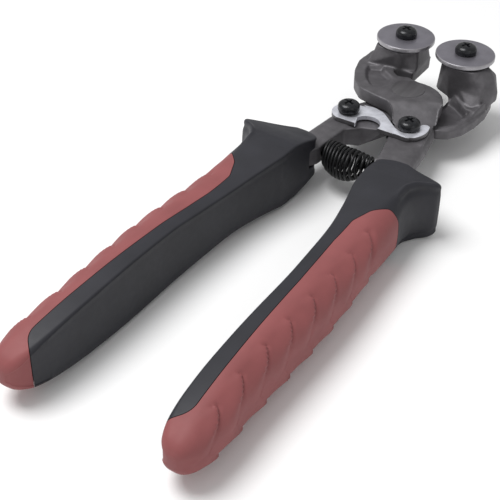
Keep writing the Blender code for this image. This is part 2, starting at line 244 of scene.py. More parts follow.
def coords(obj):
    """The object's vertices in drawing millimetres."""
    flat = np.empty(len(obj.data.vertices) * 3, np.float32)
    obj.data.vertices.foreach_get("co", flat)
    return (flat.reshape(-1, 3).astype(float) - np.array(ORIGIN)) / MM


def set_coords(obj, points):
    flat = (points * MM + np.array(ORIGIN)).astype(np.float32).ravel()
    obj.data.vertices.foreach_set("co", flat)
    obj.data.update()


def normals(obj):
    flat = np.empty(len(obj.data.vertices) * 3, np.float32)
    obj.data.vertex_normals.foreach_get("vector", flat)
    return flat.reshape(-1, 3).astype(float)


def step01(value):
    """Smooth step of an array from 0 to 1."""
    t = np.clip(value, 0.0, 1.0)
    return t * t * (3 - 2 * t)


def inside(points, outline):
    """Signed distance in plan from points to an outline, positive inside."""
    xy = points[:, :2]
    poly = np.array(outline, float)
    best = np.full(len(xy), np.inf)
    crossing = np.zeros(len(xy), bool)
    for (ax, ay), (bx, by) in zip(poly, np.roll(poly, -1, axis=0)):
        edge = np.array([bx - ax, by - ay])
        rel = xy - (ax, ay)
        t = np.clip(rel @ edge / max(edge @ edge, 1e-9), 0, 1)
        best = np.minimum(best, np.hypot(*(rel - t[:, None] * edge).T))
        cut = (ay > xy[:, 1]) != (by > xy[:, 1])
        with np.errstate(divide="ignore", invalid="ignore"):
            where = (bx - ax) * (xy[:, 1] - ay) / (by - ay) + ax
        crossing ^= cut & (xy[:, 0] < where)
    return np.where(crossing, best, -best)


# ---------------------------------------------------------------- materials

class Look:
    """A Principled material with short calls for the textures that vary it."""

    def __init__(self, name, tint, metallic, specular=0.5):
        self.tint = tint
        self.material = bpy.data.materials.new(name)
        self.material.use_nodes = True
        self.tree = self.material.node_tree
        self.shader = self.tree.nodes["Principled BSDF"]
        self.shader.inputs["Base Color"].default_value = (*tint, 1)
        self.shader.inputs["Metallic"].default_value = metallic
        self.shader.inputs["Specular IOR Level"].default_value = specular
        self.place = self.tree.nodes.new("ShaderNodeTexCoord").outputs["Object"]
        self.height = None

    def node(self, kind):
        return self.tree.nodes.new(kind)

    def noise(self, scale, detail=3.0, roughness=0.55, stretch=None):
        """Cloudy noise with so many lumps to the metre."""
        made = self.node("ShaderNodeTexNoise")
        made.inputs["Scale"].default_value = scale
        made.inputs["Detail"].default_value = detail
        made.inputs["Roughness"].default_value = roughness
        self.tree.links.new(self.stretched(stretch), made.inputs["Vector"])
        return made.outputs["Fac"]

    def cells(self, scale):
        """Round pits with so many to the metre."""
        made = self.node("ShaderNodeTexVoronoi")
        made.inputs["Scale"].default_value = scale
        self.tree.links.new(self.place, made.inputs["Vector"])
        return made.outputs["Distance"]

    def stretched(self, stretch):
        if stretch is None:
            return self.place
        mapping = self.node("ShaderNodeMapping")
        mapping.inputs["Scale"].default_value = stretch
        self.tree.links.new(self.place, mapping.inputs["Vector"])
        return mapping.outputs["Vector"]

    def colour(self, value, *stops):
        """Colours the surface by a value, through (position, share of the tint) stops."""
        made = self.node("ShaderNodeValToRGB")
        ramp = made.color_ramp
        while len(ramp.elements) < len(stops):
            ramp.elements.new(0.5)
        for element, (position, share) in zip(ramp.elements, stops):
            element.position = position
            element.color = (*(min(1.0, c * share) for c in self.tint), 1)
        self.tree.links.new(value, made.inputs["Fac"])
        self.tree.links.new(made.outputs["Color"], self.shader.inputs["Base Color"])

    def roughness(self, value, low, high):
        """Varies the roughness between two values."""
        made = self.node("ShaderNodeMapRange")
        made.inputs["To Min"].default_value = low
        made.inputs["To Max"].default_value = high
        self.tree.links.new(value, made.inputs["Value"])
        self.tree.links.new(made.outputs["Result"], self.shader.inputs["Roughness"])

    def bump(self, value, strength, distance):
        """Adds a relief of a height in metres to those already there."""
        made = self.node("ShaderNodeBump")
        made.inputs["Strength"].default_value = strength
        made.inputs["Distance"].default_value = distance
        self.tree.links.new(value, made.inputs["Height"])
        if self.height is not None:
            self.tree.links.new(self.height, made.inputs["Normal"])
        self.height = made.outputs["Normal"]
        self.tree.links.new(self.height, self.shader.inputs["Normal"])


def forged_steel():
    look = Look("forged_steel", (0.113, 0.108, 0.116), 0.5)
    look.colour(look.noise(260, 4), (0.3, 0.82), (0.5, 1.0), (0.72, 1.22))
    look.roughness(look.noise(900, 2), 0.42, 0.6)
    look.bump(look.noise(1500, 4, 0.6), 0.35, 0.00012)
    look.bump(look.cells(900), 0.15, 0.00008)
    return look.material


# Machined steel of the pivot disc, and also laid on the latch plate's outer side faces as painted shade.
def machined_steel_and_side_shade():
    look = Look("machined_steel_and_side_shade", (0.116, 0.112, 0.118), 0.55)
    look.colour(look.noise(500, 3, stretch=(1, 0.08, 1)), (0.35, 0.86), (0.65, 1.14))
    look.roughness(look.noise(900, 2), 0.36, 0.5)
    look.bump(look.noise(1400, 2, stretch=(0.1, 1, 1)), 0.25, 0.00006)
    return look.material


def carbide():
    look = Look("carbide", (0.26, 0.25, 0.285), 0.75)
    look.colour(look.noise(180, 4), (0.3, 0.88), (0.5, 1.0), (0.7, 1.12))
    look.roughness(look.noise(1200, 2), 0.3, 0.44)
    look.bump(look.noise(2500, 2), 0.18, 0.00004)
    return look.material


# Lighter than the carbide: a painted highlight on the wheels' rim land, while its lower roughness is the
# land's real polish.
def polished_land_painted_highlight():
    look = Look("polished_land_painted_highlight", (0.36, 0.35, 0.37), 0.75)
    look.colour(look.noise(400, 3), (0.35, 0.92), (0.65, 1.08))
    look.roughness(look.noise(1500, 2), 0.3, 0.42)
    look.bump(look.noise(2600, 2), 0.1, 0.00003)
    return look.material


def zinc_plate():
    look = Look("zinc_plate", (0.8, 0.81, 0.88), 0.6)
    look.colour(look.noise(350, 3), (0.35, 0.86), (0.65, 1.06))
    look.roughness(look.noise(700, 3), 0.22, 0.4)
    look.bump(look.noise(1100, 3), 0.12, 0.00006)
    return look.material


def black_oxide():
    look = Look("black_oxide", (0.012, 0.0125, 0.015), 0.3)
    look.colour(look.noise(800, 3), (0.35, 0.7), (0.7, 1.5))
    look.roughness(look.noise(1300, 2), 0.2, 0.38)
    look.bump(look.noise(2200, 3), 0.2, 0.00005)
    return look.material


def spring_steel():
    look = Look("spring_steel", (0.012, 0.012, 0.013), 0.6)
    look.colour(look.noise(900, 2), (0.35, 0.7), (0.7, 1.6))
    look.roughness(look.noise(1500, 2), 0.25, 0.42)
    look.bump(look.noise(3000, 2), 0.15, 0.00004)
    return look.material


def black_grip():
    look = Look("black_grip", (0.0185, 0.0187, 0.0245), 0.0, specular=0.4)
    look.colour(look.noise(90, 3), (0.35, 0.9), (0.65, 1.12))
    look.roughness(look.noise(500, 3), 0.46, 0.6)
    look.bump(look.noise(3200, 2, 0.6), 0.18, 0.00005)
    return look.material


def red_grip():
    look = Look("red_grip", (0.255, 0.073, 0.074), 0.0, specular=0.4)
    look.colour(look.noise(80, 3), (0.35, 0.94), (0.65, 1.07))
    look.roughness(look.noise(450, 3), 0.55, 0.7)
    look.bump(look.noise(3000, 2, 0.6), 0.2, 0.00006)
    return look.material


# The finish of each of the record's material slots.
LOOKS = {
    "forged_steel": forged_steel(),
    "carbide": carbide(),
    "zinc_plate": zinc_plate(),
    "black_oxide": black_oxide(),
    "spring_steel": spring_steel(),
    "black_grip": black_grip(),
    "red_grip": red_grip(),
}
MACHINED_AND_SIDE_SHADE = machined_steel_and_side_shade()
LAND_PAINTED_HIGHLIGHT = polished_land_painted_highlight()


# ---------------------------------------------------------------- camera, lights, floor

CAMERA_AZIMUTH, CAMERA_ELEVATION, CAMERA_ROLL = 31.84, 37.43, 0.96
CAMERA_TARGET = (0.84, -109.52, 4.4)
CAMERA_DISTANCE = 349.63
CAMERA_LENS, CAMERA_SENSOR = 82.56, 36.0
CAMERA_NEAR = 0.01
LIGHT_AIM = (0, -60, 0)
# Azimuth, elevation, distance and size in metres, and watts.
KEY_LIGHT = (-60, 66, 0.8, 0.5, 5.6)
FILL_LIGHT = (70, 35, 0.9, 0.5, 0.5)
WORLD_STRENGTH = 0.46
# Half the floor's side, and how far it lies below the tool, in metres.
FLOOR_HALF, FLOOR_DROP = 2.0, 0.0004


def direction(azimuth, elevation):
    """Unit vector from the tool towards a viewpoint: azimuth 0 is on -Y, and +90 on +X."""
    return Vector((
        math.sin(azimuth) * math.cos(elevation),
        -math.cos(azimuth) * math.cos(elevation),
        math.sin(elevation),
    ))


def camera():
    roll = math.radians(CAMERA_ROLL)
    back = direction(math.radians(CAMERA_AZIMUTH), math.radians(CAMERA_ELEVATION))
    level_right = (-back).cross(Vector((0, 0, 1))).normalized()
    level_up = level_right.cross(-back)
    right = level_right * math.cos(roll) + level_up * math.sin(roll)
    up = level_up * math.cos(roll) - level_right * math.sin(roll)
    data = bpy.data.cameras.new("camera")
    data.lens = CAMERA_LENS
    data.sensor_width = CAMERA_SENSOR
    data.clip_start = CAMERA_NEAR
    made = linked("camera", data)
    turn = Matrix((right, up, back)).transposed().to_4x4()
    place = drawn(CAMERA_TARGET) + back * CAMERA_DISTANCE * MM
    made.matrix_world = Matrix.Translation(place) @ turn
    bpy.context.scene.camera = made


def light(name, azimuth, elevation, distance, size, power):
    """Area light that faces the tool's middle."""
    away = direction(math.radians(azimuth), math.radians(elevation))
    data = bpy.data.lights.new(name, "AREA")
    data.shape = "DISK"
    data.size = size
    data.energy = power
    made = linked(name, data)
    made.location = drawn(LIGHT_AIM) + away * distance
    made.rotation_euler = away.to_track_quat("Z", "Y").to_euler()


def studio():
    world = bpy.data.worlds.new("studio")
    bpy.context.scene.world = world
    world.use_nodes = True
    background = world.node_tree.nodes["Background"]
    background.inputs["Color"].default_value = (1, 1, 1, 1)
    background.inputs["Strength"].default_value = WORLD_STRENGTH
    light("key", *KEY_LIGHT)
    light("fill", *FILL_LIGHT)
    bpy.context.scene.view_settings.view_transform = "Standard"
    square = [(FLOOR_HALF * x, FLOOR_HALF * y, 0) for x, y in ((-1, -1), (1, -1), (1, 1), (-1, 1))]
    floor = mesh_object("floor", square, [(0, 1, 2, 3)], drawing=False)
    floor.location.z = -FLOOR_DROP
    look = Look("pale_floor", (1, 1, 1), 0.0, specular=0.2)
    look.shader.inputs["Roughness"].default_value = 0.75
    look.colour(look.noise(6, 2), (0.4, 0.92), (0.6, 0.94))
    floor.data.materials.append(look.material)


camera()
studio()


# ---------------------------------------------------------------- levers

VOXEL = 0.34
LAP_LEVEL = 1.0
HEAD_TOP = 8.55
# The head slopes down to its shank along (SLOPE_X, -SLOPE_Y), from SLOPE_START over SLOPE_LENGTH.
SLOPE_X, SLOPE_Y = 0.466, 0.885
SLOPE_START, SLOPE_LENGTH, SLOPE_DROP = 8.2, 10.2, 4.95
SLOPE_DIP = 0.5
POCKET_DEPTH = 1.6
FLOOR_DEPTH = 1.7

# Convex pieces that join the upper forging, by their corner points.
UPPER_FEATURES = {
    # The jaw block's front, from the ledge over the pocket and the throat's edge up to the wheel seat.
    "front": (
        (-23.2, 11.0, 7.8), (-21.8, 9.9, 8.6), (-16.5, 11.0, 8.7), (-11.8, 11.9, 8.5),
        (-20.0, 12.8, 15.2), (-9.5, 11.6, 15.2), (-20.0, 16.0, 8.0), (-11.0, 15.0, 8.0),
    ),
    # The block's inner corner, beside the throat.
    "corner": (
        (-10.8, 11.9, 3.7), (-4.6, 12.6, 3.7), (-3.7, 13.4, 7.2), (-3.6, 26.0, 8.9), (-3.5, 14.4, 9.2),
        (-10.4, 12.4, 15.2), (-4.6, 16.6, 15.2), (-4.6, 25.6, 15.2), (-12.0, 20.0, 15.2), (-12, 16, 3.7),
    ),
}
# What is cut away beside the block, where it faces the other jaw.
TRIM = [(x, y, z) for y in (10.0, 40.0) for x, z in ((-3.2, 13.6), (-4.2, 3.5), (3.0, 13.6), (3.0, 3.5))]
THROAT = (
    (-11.4, 11.4), (-10.2, 9.0), (-7.6, 7.2), (-4.0, 8.2), (0.5, 9.0), (0.5, 12.0), (-8.0, 11.8),
)
# The sunk area of the head, in front of the pivot disc: x, y, corner radius.
HEAD_POCKET = (
    (-21.2, 8.6, 1.0), (-20.4, 4.4, 4.0), (-17.6, -0.6, 4.0), (-13.6, -4.6, 3.0), (-8.6, -5.4, 4.0),
    (-6.4, -1.0, 4.0), (-8.4, 5.0, 1.5), (-13.4, 8.3, 1.5), (-15.4, 11.4, 1.0),
)

# Convex pieces that join the lower forging, by their corner points.
LOWER_FEATURES = {
    # The outer wall of the jaw, flaring from the web's rim and in again to the wheel seat.
    "wall": (
        (26.4, 11.5, 2.6), (27.8, 18.2, 3.6), (25.8, 24.0, 3.6), (22.0, 11.2, 3.0),
        (27.8, 18.3, 7.0), (26.4, 17.4, 11.5), (27.0, 14.6, 6.0), (24.6, 22.8, 12.0), (24.2, 13.4, 11.0),
        (20.6, 12.4, 12.4), (24.4, 18.6, 14.0), (22.2, 20.4, 15.3), (21.0, 15.4, 15.3),
        (16.0, 14.0, 14.6), (16.0, 20.0, 3.0), (16.0, 20.0, 15.2),
    ),
    # The brow where the block's front face ends above the pocket.
    "brow": (
        (12.0, 13.4, 9.6), (21.4, 12.9, 11.6), (12.6, 12.7, 5.6), (18.6, 11.6, 6.2),
        (24.2, 10.8, 7.2), (24.6, 13.0, 11.0), (13.0, 16.0, 4.6), (24.0, 16.0, 5.2),
    ),
    # The pocket's floor, falling from under the brow to the buttress.
    "pocket": (
        (13.2, 13.9, 8.4), (24.2, 12.6, 9.8), (20.8, 8.0, 3.0), (24.6, 8.6, 3.8),
        (13.2, 14.5, LAP_LEVEL), (24.8, 13.0, LAP_LEVEL), (20.8, 8.2, LAP_LEVEL), (24.8, 8.6, LAP_LEVEL),
        (15.4, 11.6, 3.6),
    ),
    # The buttress between the web's floor and the pocket under the brow, in three lengths.
    "buttress_a": (
        (12.2, 13.4, 4.6), (12.8, 14.4, 4.6), (16.6, 9.9, 3.9), (17.6, 10.6, 3.9),
        (11.9, 12.6, LAP_LEVEL), (13.6, 15.0, LAP_LEVEL), (15.9, 9.1, LAP_LEVEL), (18.6, 11.4, LAP_LEVEL),
    ),
    "buttress_b": (
        (16.6, 9.9, 3.9), (17.6, 10.6, 3.9), (20.4, 6.9, 3.6), (21.0, 7.9, 3.6),
        (15.9, 9.1, LAP_LEVEL), (18.6, 11.4, LAP_LEVEL), (20.4, 5.6, LAP_LEVEL), (21.6, 8.9, LAP_LEVEL),
    ),
    "buttress_c": (
        (20.4, 6.9, 3.6), (21.0, 7.9, 3.6), (24.6, 5.6, 4.2), (25.2, 8.4, 4.4),
        (20.4, 5.6, LAP_LEVEL), (21.6, 8.9, LAP_LEVEL), (25.4, 4.6, LAP_LEVEL), (26.2, 9.0, LAP_LEVEL),
    ),
    # The raised rim that runs round the web, in three lengths.
    "rim_a": (
        (24.8, 3.5, LAP_LEVEL), (26.3, 11.5, LAP_LEVEL), (22.8, 10.0, LAP_LEVEL), (21.8, 4.0, LAP_LEVEL),
        (24.6, 3.5, 3.4), (26.0, 11.5, 5.8), (23.6, 9.6, 4.6), (22.6, 4.2, 3.1),
    ),
    "rim_b": (
        (22.6, -5.4, LAP_LEVEL), (25.0, 4.2, LAP_LEVEL), (22.0, 4.6, LAP_LEVEL), (20.2, -4.2, LAP_LEVEL),
        (22.4, -5.2, 2.7), (24.6, 4.2, 3.4), (22.6, 4.5, 3.1), (20.6, -4.4, 2.5),
    ),
    "rim_c": (
        (17.2, -10.2, LAP_LEVEL), (22.8, -5.2, LAP_LEVEL), (20.4, -3.9, LAP_LEVEL), (16.8, -8.2, LAP_LEVEL),
        (17.4, -10.0, 2.2), (22.4, -5.2, 2.7), (20.7, -4.1, 2.5), (17.2, -8.4, 2.1),
    ),
    # The web that fills the crotch between the lap and the left shank.
    "crotch": (
        (-9.4, -26.9, 3.2), (-7.0, -25.9, 3.2), (-0.1, -23.6, 3.2), (1.8, -22.2, 3.2),
        (1.4, -9.0, 3.1), (-9.4, -12.0, 3.1), (-9.4, -27.0, -4.6), (-6.4, -25.8, -5.0), (-3.0, -24.2, -2.6),
        (1.2, -22.4, 1.2), (1.2, -9.0, -5.0), (-9.0, -12.0, -5.0),
    ),
    # The curve from the web into the shank, in two steps.
    "fillet_a": (
        (-11.2, -36.0, 3.2), (-9.4, -28.4, 3.2), (-11.4, -24.0, 3.2),
        (-11.2, -36.0, -3.2), (-9.4, -28.4, -3.8), (-11.4, -24.0, -4.6),
    ),
    "fillet_b": (
        (-9.9, -30.0, 3.2), (-8.0, -26.9, 3.2), (-5.0, -25.2, 3.2), (-9.8, -24.0, 3.2),
        (-9.9, -30.0, -3.4), (-8.0, -26.9, -4.4), (-5.0, -25.2, -4.0), (-9.8, -24.0, -4.6),
    ),
}
# What is cut away under the jaw block.
UNDERCUT = ((1.0, 33.0), (1.0, 14.6), (11.0, 11.4), (11.0, 33.0))
# The sunk floor of the web inside its rim: x, y, corner radius.
WEB_FLOOR = (
    (12.2, 12.4, 1.0), (16.6, 10.0, 1.5), (21.0, 6.4, 1.5), (22.6, 2.6, 1.5), (21.2, -3.2, 3.0),
    (17.8, -7.0, 2.5), (13.6, -8.2, 2.0), (8.0, -6.0), (8.0, 8.0),
)


def forged(name, node, extras, passes, cut):
    """Fine forging from the CAD lever, less a cut, with features added: one skin with softened edges."""
    lever = linked(name, NODES[node].data.copy())
    combine(lever, "DIFFERENCE", cut)
    for extra in extras:
        shape = bmesh.new()
        shape.from_mesh(lever.data)
        shape.from_mesh(extra.data)
        shape.to_mesh(lever.data)
        shape.free()
        bpy.data.objects.remove(extra)
    step = lever.modifiers.new("skin", "REMESH")
    step.mode = "VOXEL"
    step.voxel_size = VOXEL * MM
    bake(lever)
    step = lever.modifiers.new("soften", "SMOOTH")
    step.factor = 0.5
    step.iterations = passes
    return bake(lever)


def upper_lever():
    cut = prism("throat", THROAT, 4.9, 12.0)
    combine(cut, "UNION", hull("trim", TRIM))
    extras = [hull(name, points) for name, points in UPPER_FEATURES.items()]
    # The recess in the head is closed, since the bolt's disc fills it.
    extras.append(turned("filled", [(6.6, 6.0), (6.6, HEAD_TOP)], 0.0, 0.0, 64))
    lever = forged("upper_lever_forging", "upper_lever", extras, 13, cut)
    points, up = coords(lever), normals(lever)
    flat = step01((up[:, 2] - 0.45) / 0.35)
    wall = step01(inside(points, rounded(HEAD_POCKET)) / 1.7)
    depth = POCKET_DEPTH * wall * step01((-5.0 - points[:, 0]) / 6.5)
    points[:, 2] -= depth * flat * (points[:, 2] > 7.0)
    reach = SLOPE_X * points[:, 0] - SLOPE_Y * points[:, 1]
    across = SLOPE_Y * points[:, 0] + SLOPE_X * points[:, 1]
    sloped = flat * step01((reach - 8.0) / 1.5) * step01((19.5 - reach) / 1.5) * (points[:, 2] > 3.3)
    dip = SLOPE_DIP * step01((across - 6.0) / 6.0) * step01((reach - SLOPE_START) / 4.0)
    slope = HEAD_TOP - SLOPE_DROP * step01((reach - SLOPE_START) / SLOPE_LENGTH)
    points[:, 2] += sloped * (slope - dip - points[:, 2])
    set_coords(lever, points)
    return lever


def lower_lever():
    under = prism("under", UNDERCUT, -3.0, 2.5)
    extras = [hull(name, points) for name, points in LOWER_FEATURES.items()]
    lever = forged("lower_lever_forging", "lower_lever", extras, 12, under)
    points, up = coords(lever), normals(lever)
    flat = step01((up[:, 2] - 0.3) / 0.4) * (points[:, 2] > 0.8) * step01((3.6 - points[:, 2]) / 0.6)
    points[:, 2] -= FLOOR_DEPTH * step01(inside(points, rounded(WEB_FLOOR)) / 1.2) * flat
    set_coords(lever, points)
    return lever


piece(smooth(upper_lever(), 60), "upper_half", "forged_steel", LOOKS["forged_steel"], "upper_lever")
piece(smooth(lower_lever(), 60), "lower_half", "forged_steel", LOOKS["forged_steel"], "lower_lever")


# ---------------------------------------------------------------- pivot

NUT_FLATS = 13.0
DISC_PROUD = 0.02


def plain_ring(name, node, bore, edge, steps=64):
    """Ring of a node's size with its outer edges broken."""
    low, high = level(node, 0), level(node, 1)
    outer = node_radius(node)
    profile = [(bore, low), (outer - edge, low), (outer, low + edge)]
    profile += [(outer, high - edge), (outer - edge, high), (bore, high)]
    return hollow_turned(name, profile, *plan(node), steps)


def pivot_disc():
    """The bolt's flush disc and its shank. The disc is plain."""
    low, top = level("pivot_bolt", 0), level("pivot_bolt", 1)
    radius = node_radius("pivot_bolt")
    profile = [(3.5, low), (3.95, low + 0.5), (3.95, 6.75), (radius, 6.75), (radius, top - 0.14)]
    profile += [(radius - 0.08, top - 0.03), (radius - 0.24, top + DISC_PROUD), (0.6, top + DISC_PROUD)]
    return turned("pivot_disc", profile, *plan("pivot_bolt"))


def pivot_nut():
    """Thin hexagon nut with chamfered corners and a through hole."""
    x, y = plan("pivot_nut")
    low, high = level("pivot_nut", 0), level("pivot_nut", 1)
    corner = NUT_FLATS / 2 / math.cos(math.pi / 6)
    nut = prism("pivot_hex_nut", arc(x, y, corner, 0, 300, 5), low, high)
    chamfer = [(6.4, low), (corner + 0.05, low + 0.7), (corner + 0.05, high - 0.7), (6.4, high)]
    combine(nut, "INTERSECT", turned("cone", chamfer, x, y))
    combine(nut, "DIFFERENCE", turned("thread", [(4.2, low - 1), (4.2, high + 1)], x, y, 64))
    return bevelled(nut, 0.12, 2)


piece(smooth(pivot_disc()), "lower_half", "forged_steel", MACHINED_AND_SIDE_SHADE, "pivot_bolt")
piece(smooth(pivot_nut()), "lower_half", "black_oxide", LOOKS["black_oxide"], "pivot_nut")
washer = plain_ring("pivot_flat_washer", "pivot_washer", 4.3, 0.2, 96)
piece(smooth(washer), "lower_half", "zinc_plate", LOOKS["zinc_plate"], "pivot_washer")


# ---------------------------------------------------------------- wheels and screws

LAND_WIDTH = 0.35
SCREW_HOLE = 2.2
SHANK_RADIUS = 1.85
SCREW_HEAD = 3.1
RECESS_DEPTH = 1.9


def cutting_wheel(node, body):
    """Carbide disc: flat face, narrow polished land round the rim, and the long bevel under it. The land's
    lighter tint is a painted highlight for the bright band that the rim catches.
    """
    x, y = plan(node)
    low, high = level(node, 0), level(node, 1)
    radius = node_radius(node)
    profile = [(3.2, low), (9.4, low), (radius - 0.1, low + 0.42), (radius, low + 0.55)]
    profile += [(radius, high - 0.42), (radius - 0.08, high - 0.2), (radius - 0.3, high - 0.06)]
    profile += [(radius - 0.6, high), (3.35, high), (3.2, high - 0.15)]
    wheel = hollow_turned(node + "_disc", profile, x, y, 160)
    piece(smooth(wheel), body, "carbide", LOOKS["carbide"], node)
    # The rim land's faces take the lighter material, a painted highlight for the light that the rim catches.
    wheel.data.materials.append(LAND_PAINTED_HIGHLIGHT)
    for face in wheel.data.polygons:
        centre = (face.center - ORIGIN) / MM
        rim = math.hypot(centre.x - x, centre.y - y) > radius - LAND_WIDTH
        if rim and centre.z > low + 0.5:
            face.material_index = 1


def bushing(node, body):
    sleeve = plain_ring(node + "_sleeve", node, SCREW_HOLE, 0.1)
    piece(smooth(sleeve), body, "zinc_plate", LOOKS["zinc_plate"], node)


def cross_recess(x, y, top, turn):
    """Two crossed, tapering blades that cut the recess of a screw head."""
    blades = []
    for angle in (math.radians(turn), math.radians(turn + 90)):
        ux, uy = math.cos(angle), math.sin(angle)
        rings = []
        for reach, half, z in ((0.75, 0.22, top - RECESS_DEPTH), (2.35, 0.5, top + 0.25)):
            tips = ((reach, -half), (reach, half), (-reach, half), (-reach, -half))
            rings.append([(x + ux * a - uy * b, y + uy * a + ux * b, z) for a, b in tips])
        blades.append(rings_object("blade", rings))
    return blades


def pan_screw(node, body, turn):
    """Pan-head screw: domed head with a rolled edge, a cross recess, and the shank below."""
    x, y = plan(node)
    tip, top = level(node, 0), level(node, 1)
    head = top - SCREW_HEAD
    radius = node_radius(node)
    profile = [(1.3, tip), (SHANK_RADIUS, tip + 0.6), (SHANK_RADIUS, head)]
    profile += [(radius - 0.15, head), (radius, head + 0.15), (radius, head + 1.25)]
    profile += [(radius - 0.06, head + 1.65), (radius - 0.28, head + 2.1), (radius - 0.75, head + 2.55)]
    profile += [(radius - 1.4, head + 2.85), (radius - 2.4, head + 3.04), (0.5, top)]
    screw = turned(node + "_head", profile, x, y, 72)
    combine(screw, "DIFFERENCE", *cross_recess(x, y, top, turn))
    piece(smooth(bevelled(screw, 0.07, 2, 40), 30), body, "black_oxide", LOOKS["black_oxide"], node)


cutting_wheel("left_wheel", "left_wheel")
cutting_wheel("right_wheel", "right_wheel")
bushing("left_wheel_bushing", "upper_half")
bushing("right_wheel_bushing", "lower_half")
pan_screw("left_wheel_screw", "upper_half", 62)
pan_screw("right_wheel_screw", "lower_half", 55)
pan_screw("latch_pivot_screw", "lower_half", 70)
pan_screw("latch_catch_screw", "upper_half", 62)


# ---------------------------------------------------------------- latch

LOBE_RADIUS = 6.0
NOTCH_X, NOTCH_Y, NOTCH_RADIUS = -3.7, -25.2, 5.0


def latch_outline(x, y):
    """Counterclockwise from the round lobe about the pivot screw: the thumb notch, the hook, and the back."""
    notch = arc(NOTCH_X, NOTCH_Y, NOTCH_RADIUS, 158, -12, 26)
    outline = arc(x, y, LOBE_RADIUS, 122, 252, 32)
    outline += rounded([outline[-1], (-7.0, -27.3, 0.3), notch[0]])[1:-1] + notch
    outline += rounded([(2.0, -26.5, 0.5), (8.4, -26.1, 6.0), (12.4, -26.4, 3.0), (13.9, -25.6, 1.0)])
    outline += arc(7.7, -18.8, 9.3, -40, 16, 20) + arc(15.0, -16.2, 1.7, 20, 190, 16)
    return outline + rounded(
        [(13.9, -19.2, 2.4), (13.0, -22.6, 2.6), (9.8, -24.0, 3.0), (6.2, -22.4, 4.0), (2.4, -19.0, 6.0)]
        + [(-1.6, -15.4, 5.0), (-6.0, -13.8, 5.0), (-11.6, -14.4, 4.0)]
    )


def latch_plate():
    x, y = plan("latch_pivot_screw")
    low, high = level("latch_plate", 0), level("latch_plate", 1)
    plate = prism("latch_hook_plate", latch_outline(x, y), low, high)
    combine(plate, "DIFFERENCE", turned("hole", [(2.0, low - 1), (2.0, high + 1)], x, y, 48))
    piece(smooth(bevelled(plate, 0.22, 3, 50)), "latch", "zinc_plate", LOOKS["zinc_plate"], "latch_plate")
    # The outer side faces take the darker steel as painted shade, while the thumb notch's sides keep the
    # plate's tint.
    plate.data.materials.append(MACHINED_AND_SIDE_SHADE)
    for face in plate.data.polygons:
        centre = (face.center - ORIGIN) / MM
        past_notch = math.hypot(centre.x - NOTCH_X, centre.y - NOTCH_Y) > NOTCH_RADIUS + 0.3
        if abs(face.normal.z) < 0.3 and past_notch:
            face.material_index = 1


latch_plate()
for node, body, slot_name in (
    ("latch_spring_washer", "lower_half", "spring_steel"),
    ("latch_catch_collar", "upper_half", "zinc_plate"),
):
    ring = plain_ring(node + "_ring", node, SCREW_HOLE, 0.1)
    piece(smooth(ring), body, slot_name, LOOKS[slot_name], node)


# ---------------------------------------------------------------- spring and its pins

SPRING_Y = -42.0
SPRING_X0, SPRING_X1 = -9.7, 7.4
SPRING_TURNS = 11.5
SPRING_BOW = 3.0
WIRE = 0.56
# The coil's radius along its length: share of the length, radius.
BARREL = ((0, 4.0), (0.14, 5.1), (0.36, 5.5), (0.64, 5.4), (0.82, 4.4), (1, 3.0))
PIN_CHAMFER, PIN_TIP = 0.3 * MM, 0.75


def spring():
    """Barrel coil that bows towards the handles and narrows towards its end by the right shank."""
    steps, sides = 44, 14
    count = int(SPRING_TURNS * steps)
    t = np.arange(count + 1) / count
    turn = math.tau * SPRING_TURNS * t
    window = np.ones(steps + 1) / (steps + 1)
    radius = np.pad(np.interp(t, *zip(*BARREL)), steps // 2, "edge")
    radius = np.convolve(radius, window, "valid")[: count + 1]
    closed = t + 0.012 * np.sin(math.tau * t)
    line = np.stack([
        SPRING_X0 + (SPRING_X1 - SPRING_X0) * closed,
        SPRING_Y - SPRING_BOW * np.sin(np.pi * t) + radius * np.cos(turn),
        radius * np.sin(turn),
    ], axis=1)
    along = np.gradient(line, axis=0)
    along /= np.linalg.norm(along, axis=1)[:, None]
    outward = np.stack([np.zeros_like(t), np.cos(turn), np.sin(turn)], axis=1)
    outward -= (outward * along).sum(1)[:, None] * along
    outward /= np.linalg.norm(outward, axis=1)[:, None]
    side = np.cross(along, outward)
    angles = math.tau * np.arange(sides) / sides
    rings = []
    for k in range(count + 1):
        ring = line[k] + WIRE * (
            np.cos(angles)[:, None] * outward[k] + np.sin(angles)[:, None] * side[k]
        )
        rings.append([tuple(p) for p in ring])
    coil = rings_object("return_coil", rings)
    piece(smooth(coil, 60), "lower_half", "spring_steel", LOOKS["spring_steel"], "return_spring")
    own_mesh(coil)


def spring_pin(node, body):
    """Round pin along X with its ends chamfered."""
    low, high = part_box(node)
    centre = (low + high) / 2
    radius = (high.z - low.z) / 2
    rings = []
    ends = [(low.x, PIN_TIP), (low.x + PIN_CHAMFER, 1.0), (high.x - PIN_CHAMFER, 1.0), (high.x, PIN_TIP)]
    for x, share in ends:
        rings.append([
            (
                x / MM,
                (centre.y - ORIGIN.y) / MM + radius / MM * share * math.cos(a),
                (centre.z - ORIGIN.z) / MM + radius / MM * share * math.sin(a),
            )
            for a in [math.tau * i / 40 for i in range(40)]
        ])
    pin = rings_object(node + "_peg", rings)
    piece(smooth(pin), body, "spring_steel", LOOKS["spring_steel"], node)


spring()
spring_pin("left_spring_pin", "lower_half")
spring_pin("right_spring_pin", "upper_half")


# ---------------------------------------------------------------- grips

